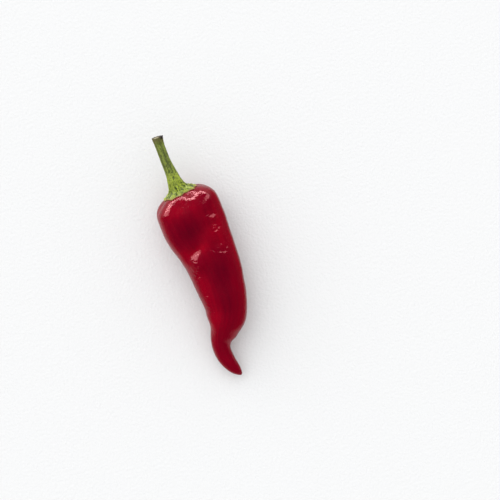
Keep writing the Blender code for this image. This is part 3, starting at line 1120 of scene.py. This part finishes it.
# The relief, in millimetres, over which the painted shade and the painted highlight come in, and the share of
# each at both ends of that range.
HOLLOW_SHADE_RELIEF = (-0.22, 0.06)
HOLLOW_SHADE_SHARES = (0.8, 0.0)
CREST_HIGHLIGHT_RELIEF = (0.08, 0.35)
CREST_HIGHLIGHT_SHARES = (0.0, 0.5)

# Heights of the bumps that the tissue makes, in metres.
CALYX_BUMP = 0.0004
STEM_BUMP = 0.00022


def finish_calyx():
    """Yellow-green tissue with painted shade in the hollows and a painted highlight on the crests, and a tan
    line along the margin."""
    material, tree, shader = new_material("calyx_green")
    place = scaled(tree, carried(tree, "straight", "Vector"), (0.8, 1.4, 1.4))
    colour, height = green_tissue(tree, place, BASE_DARK, BASE_LIGHT)
    relief = carried(tree, "relief")
    # Painted shade in the hollows, then a painted highlight on the crests.
    colour = mix_colour(tree, mapped(tree, relief, *HOLLOW_SHADE_RELIEF, *HOLLOW_SHADE_SHARES), colour, HOLLOW_SHADE_GREEN)
    colour = mix_colour(tree, mapped(tree, relief, *CREST_HIGHLIGHT_RELIEF, *CREST_HIGHLIGHT_SHARES), colour, CREST_HIGHLIGHT_GREEN)
    edge = ramp(tree, carried(tree, "rise"), ((0.0, grey(0.9)), (0.05, grey(0.7)), (0.10, grey(0.0))))
    feed(tree, shader.inputs["Base Color"], mix_colour(tree, edge, colour, MARGIN_TAN))
    feed(tree, shader.inputs["Normal"], bump(tree, height, CALYX_BUMP))
    shader.inputs["Roughness"].default_value = 0.42
    shader.inputs["Specular IOR Level"].default_value = 0.25
    dress(calyx, material)


finish_calyx()

# %% [markdown]
# ## Stem finish
#
# Further up the stalk the green turns greyer, with dark grooves between the ribs. Where it was cut it has
# dried to brown, the rim is almost black, most of all on its right, and the face shows pale fibres. All of
# this depends on the place along the stalk, so the straightened place and the values on the mesh say where
# each colour belongs.

# %% Stem finish
STALK_DARK = (0.065, 0.09, 0.008)
STALK_LIGHT = (0.20, 0.25, 0.036)
GROOVE_GREEN = (0.06, 0.08, 0.012)
DRIED_BROWN = (0.12, 0.11, 0.030)
FACE_BROWN = (0.20, 0.17, 0.08)
FACE_PALE = (0.50, 0.47, 0.30)
RIM_BROWN = (0.035, 0.025, 0.012)
RIM_BLACK = (0.012, 0.010, 0.008)

# Distances along the stalk in millimetres: where the green has turned greyer, and from where to where the
# brown and the black come in, once noise has moved them by up to DRIED_WANDER. BLACK_SIDE is the black's
# range across the straightened stalk.
GREYER_BY = 9.0
DRIED_WANDER = 4.0
BROWN_FROM = (22.5, 25.5)
BLACK_FROM = (24.6, 25.8)
BLACK_SIDE = (-0.9, -2.0)


def stalk_tissue(tree, place, length):
    """The tissue from the calyx's greens to the stalk's, with its grooves darkened."""
    up = mapped(tree, length, 0.0, GREYER_BY)
    dark = mix_colour(tree, up, BASE_DARK, STALK_DARK)
    light = mix_colour(tree, up, BASE_LIGHT, STALK_LIGHT)
    colour, height = green_tissue(tree, place, dark, light)
    deep = ramp(tree, carried(tree, "groove"), ((0.55, grey(0.0)), (1.0, grey(0.65))))
    return mix_colour(tree, deep, colour, GROOVE_GREEN), height


def finish_stem():
    """Layers of colour, each mixed over the last: the tissue, brown near the cut, the pale face, the dark
    rim, and black on its right side, whose mask is the product of one across the stalk and one along it."""
    material, tree, shader = new_material("stem_green")
    place = carried(tree, "straight", "Vector")
    split = add_node(tree, "SeparateXYZ", {"Vector": place}).outputs
    colour, height = stalk_tissue(tree, place, split["X"])
    dried = noise(tree, place, (0.9, 1.6, 1.6))
    reach = worked_out(tree, "MULTIPLY_ADD", dried, DRIED_WANDER, split["X"])
    colour = mix_colour(tree, mapped(tree, reach, *BROWN_FROM), colour, DRIED_BROWN)
    cut = carried(tree, "cut")
    fibres = noise(tree, place, (0.0, 2.4, 2.4))
    face = ramp(tree, fibres, ((0.4, FACE_BROWN), (0.6, FACE_PALE)))
    colour = mix_colour(tree, ramp(tree, cut, ((0.02, grey(0.0)), (0.10, grey(1.0)))), colour, face)
    rim = ramp(tree, cut, ((0.0, grey(0.0)), (0.02, grey(1.0)), (0.10, grey(1.0)), (0.25, grey(0.0))))
    colour = mix_colour(tree, rim, colour, RIM_BROWN)
    beside = mapped(tree, split["Y"], *BLACK_SIDE)
    black = worked_out(tree, "MULTIPLY", beside, mapped(tree, reach, *BLACK_FROM))
    feed(tree, shader.inputs["Base Color"], mix_colour(tree, black, colour, RIM_BLACK))
    feed(tree, shader.inputs["Normal"], bump(tree, height, STEM_BUMP))
    shader.inputs["Roughness"].default_value = 0.5
    shader.inputs["Specular IOR Level"].default_value = 0.25
    dress(stem, material)


finish_stem()

# %% [markdown]
# ## The floor, the light and the camera
#
# The pepper lies on a pale floor and is seen from straight above. Three windows draw on its gloss. A long,
# low one beyond the stalk makes the bright line over the shoulder, and a smaller one on each side lights the
# folds. The top of the pod stays a deep red, because nothing bright hangs over it.

# %% Floor
FLOOR_HALF = 3000.0
FLOOR_PALE = (0.790, 0.795, 0.80)
# Painted shade and red bounce light on the floor, seen only in the pod's reflections.
FLOOR_SHADE_IN_GLOSS = (0.45, 0.0, 0.01)

# In the gloss: the strip's left side and its right side, the place beyond the stalk, each from one place to
# another in millimetres, and how much of the painted shade's dark red shows in the dark and in the bright
# parts.
STRIP_LEFT = (-68.0, -40.0)
STRIP_RIGHT = (30.0, 22.0)
BEYOND_STALK = (30.0, 70.0)
SHADE_SHARES = (0.97, 0.42)

# Grains to a metre, and their height in metres.
GRAIN_SCALE = 750.0
GRAIN_HEIGHT = 0.0004
GRAIN_STRENGTH = 0.6


def gloss_shade_share(tree, place):
    """How much of the painted shade's dark red a place shows in the gloss: least on the strip, which is the
    product of its two sides, or beyond the stalk, whichever is brighter."""
    split = add_node(tree, "SeparateXYZ", {"Vector": place}).outputs

    def rising(axis, places):
        """A smooth step along an axis, from the first place to the second."""
        start, end = places
        return mapped(tree, split[axis], start * MM, end * MM, interpolation="SMOOTHSTEP")

    strip = worked_out(tree, "MULTIPLY", rising("X", STRIP_LEFT), rising("X", STRIP_RIGHT))
    bright = worked_out(tree, "MAXIMUM", strip, rising("Y", BEYOND_STALK))
    return mapped(tree, bright, 0.0, 1.0, *SHADE_SHARES)


def finish_floor(floor):
    """A pale, grainy floor. In the pod's gloss only two parts of it are bright: a strip round the pod, wide
    on its left and narrow on its right, and everything beyond the stalk. The rest is painted shade, a dark
    red like the pod's own colour thrown on the floor as bounce light, so that the flanks stay deep."""
    material, tree, shader = new_material("floor_pale")
    place = add_node(tree, "TexCoord").outputs["Object"]
    grain = noise(tree, place, (GRAIN_SCALE, GRAIN_SCALE, GRAIN_SCALE), 3.0)
    feed(tree, shader.inputs["Normal"], bump(tree, grain, GRAIN_HEIGHT, GRAIN_STRENGTH))
    glossy = add_node(tree, "LightPath").outputs["Is Glossy Ray"]
    # Painted shade, shown only to rays that reflect off the pod.
    dim = worked_out(tree, "MULTIPLY", glossy, gloss_shade_share(tree, place))
    feed(tree, shader.inputs["Base Color"], mix_colour(tree, dim, FLOOR_PALE, FLOOR_SHADE_IN_GLOSS))
    shader.inputs["Roughness"].default_value = 0.75
    shader.inputs["Specular IOR Level"].default_value = 0.1
    dress(floor, material)


def make_floor():
    """One flat square, centred under the frame's origin."""
    half = FLOOR_HALF * MM
    mesh = bpy.data.meshes.new("floor")
    corners = ((-half, -half, 0), (half, -half, 0), (half, half, 0), (-half, half, 0))
    mesh.from_pydata(corners, [], [(0, 1, 2, 3)])
    floor = bpy.data.objects.new("floor", mesh)
    bpy.context.collection.objects.link(floor)
    floor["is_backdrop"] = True
    finish_floor(floor)


make_floor()


# %% Light
def towards(azimuth, elevation):
    """The unit vector to a place in the sky. The azimuth is counted from +X towards +Y."""
    a, e = math.radians(azimuth), math.radians(elevation)
    return Vector((math.cos(e) * math.cos(a), math.cos(e) * math.sin(a), math.sin(e)))


def window(name, azimuth, elevation, distance, width, height, power):
    """A lamp that looks at the pepper and only shows in its gloss. Sizes are in metres, and the power in
    watts."""
    light = bpy.data.lights.new(name, "AREA")
    light.shape = "RECTANGLE"
    light.size = width
    light.size_y = height
    light.energy = power
    lamp = bpy.data.objects.new(name, light)
    bpy.context.collection.objects.link(lamp)
    lamp.visible_diffuse = False
    away = towards(azimuth, elevation)
    lamp.location = away * distance
    lamp.rotation_euler = (-away).to_track_quat("-Z", "Y").to_euler()
    print(name, "gives", power, "W from azimuth", azimuth, "and elevation", elevation)


window("window", 96, 9, 0.9, 1.6, 0.10, 15.0)
window("left_window", 142, 16, 0.9, 0.6, 0.55, 6.0)
window("right_window", 30, 24, 0.9, 0.42, 0.55, 4.0)

# %% [markdown]
# The room does the rest. It glows softly round one place in the sky, beyond the stalk and a little to the
# left, and is an even grey elsewhere, so the shadows are wide and pale. Where the gloss would show the room
# it is black, because a pepper looks this deep a red only under a dark ceiling.

# %% Surround
SKY_AZIMUTH = 108.0
SKY_ELEVATION = 30.0
SKY_SHARPNESS = 3.0
SKY_STRENGTH = 1.6
ROOM_STRENGTH = 0.87

ROOM_BLACK = grey(0.0)
ROOM_SEEN = grey(0.85)


def make_surround():
    """Diffuse light: the room's grey, plus the sky's glow, which falls off as the cosine of the angle to its
    middle, raised to its sharpness. The camera sees a pale room."""
    world = bpy.data.worlds.new("surround")
    world.use_nodes = True
    tree = world.node_tree
    direction = add_node(tree, "TexCoord").outputs["Generated"]
    facing = add_node(tree, "VectorMath", operation="DOT_PRODUCT")
    feed(tree, facing.inputs[0], direction)
    feed(tree, facing.inputs[1], towards(SKY_AZIMUTH, SKY_ELEVATION))
    facing = worked_out(tree, "MAXIMUM", facing.outputs["Value"], 0.0)
    glow = worked_out(tree, "POWER", facing, SKY_SHARPNESS)
    total = worked_out(tree, "MULTIPLY_ADD", glow, SKY_STRENGTH, ROOM_STRENGTH)
    path = add_node(tree, "LightPath").outputs
    dark = mix_colour(tree, path["Is Glossy Ray"], total, ROOM_BLACK)
    seen = mix_colour(tree, path["Is Camera Ray"], dark, ROOM_SEEN)
    feed(tree, tree.nodes["Background"].inputs["Color"], seen)
    bpy.context.scene.world = world
    print("the room is at", ROOM_STRENGTH, "and the sky adds up to", SKY_STRENGTH)


make_surround()

# %% Camera
# It looks straight down, turned a little, and the pepper's middle is left of and below the picture's centre.
CAMERA_TURN = -17.7
CAMERA_CENTRE = (22.1, -9.1)
CAMERA_HEIGHT = 708.0
CAMERA_LENS = 100.0


def make_camera():
    """A long lens high over the pepper, so that near and far parts keep their sizes."""
    camera = bpy.data.objects.new("camera", bpy.data.cameras.new("camera"))
    camera.data.lens = CAMERA_LENS
    camera.location = Vector((*CAMERA_CENTRE, CAMERA_HEIGHT)) * MM
    camera.rotation_euler = (0, 0, math.radians(CAMERA_TURN))
    bpy.context.collection.objects.link(camera)
    bpy.context.scene.camera = camera
    width = CAMERA_HEIGHT * camera.data.sensor_width / CAMERA_LENS
    print("the picture is", round(width, 1), "mm wide on the floor")


make_camera()
bpy.context.scene.view_settings.view_transform = "Standard"

# %% Sizes and finish
visual_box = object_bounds()
print_box("visual box", visual_box)
